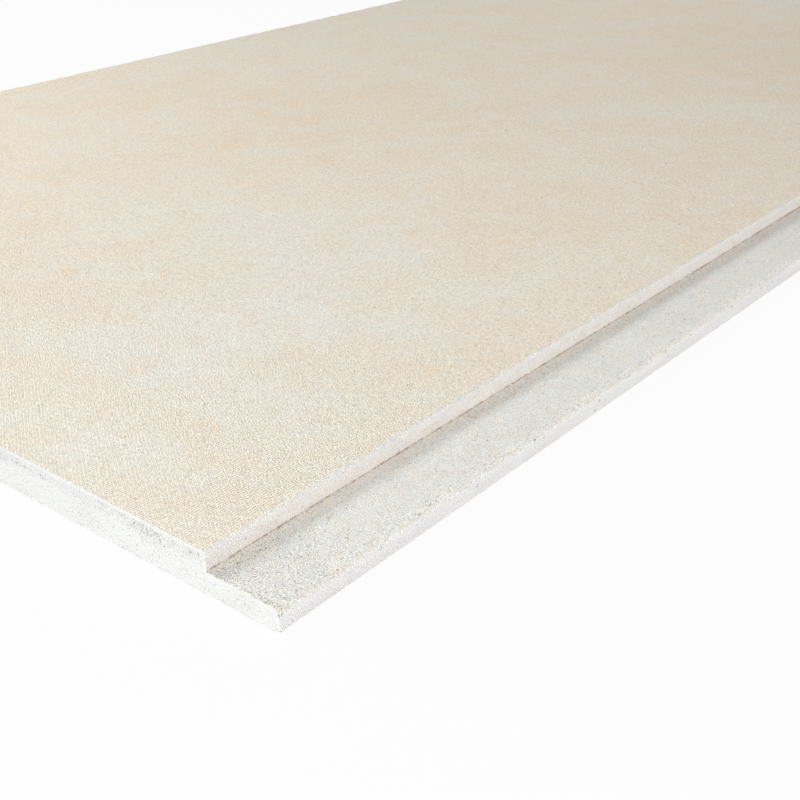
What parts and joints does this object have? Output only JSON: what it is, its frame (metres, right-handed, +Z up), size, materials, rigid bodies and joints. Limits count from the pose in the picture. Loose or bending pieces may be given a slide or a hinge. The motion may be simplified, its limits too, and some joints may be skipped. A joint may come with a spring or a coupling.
{
  "type": "gypsum floor panel",
  "caption": "Flat gypsum fibreboard panel for a dry floor, with a milled half-lap lip along its long sides and plain sawn short ends.",
  "frame": {"origin": "middle of the panel's outline, on the floor that its underside rests on", "axes": "+Z up out of the walking face, +Y along the panel, +X towards the long side that has the lower lip"},
  "size_m": [0.635, 1.2, 0.018],
  "materials": {
    "panel": "matte"
  },
  "bodies": {
    "root": {"panel": "panel"}
  },
  "joints": []
}
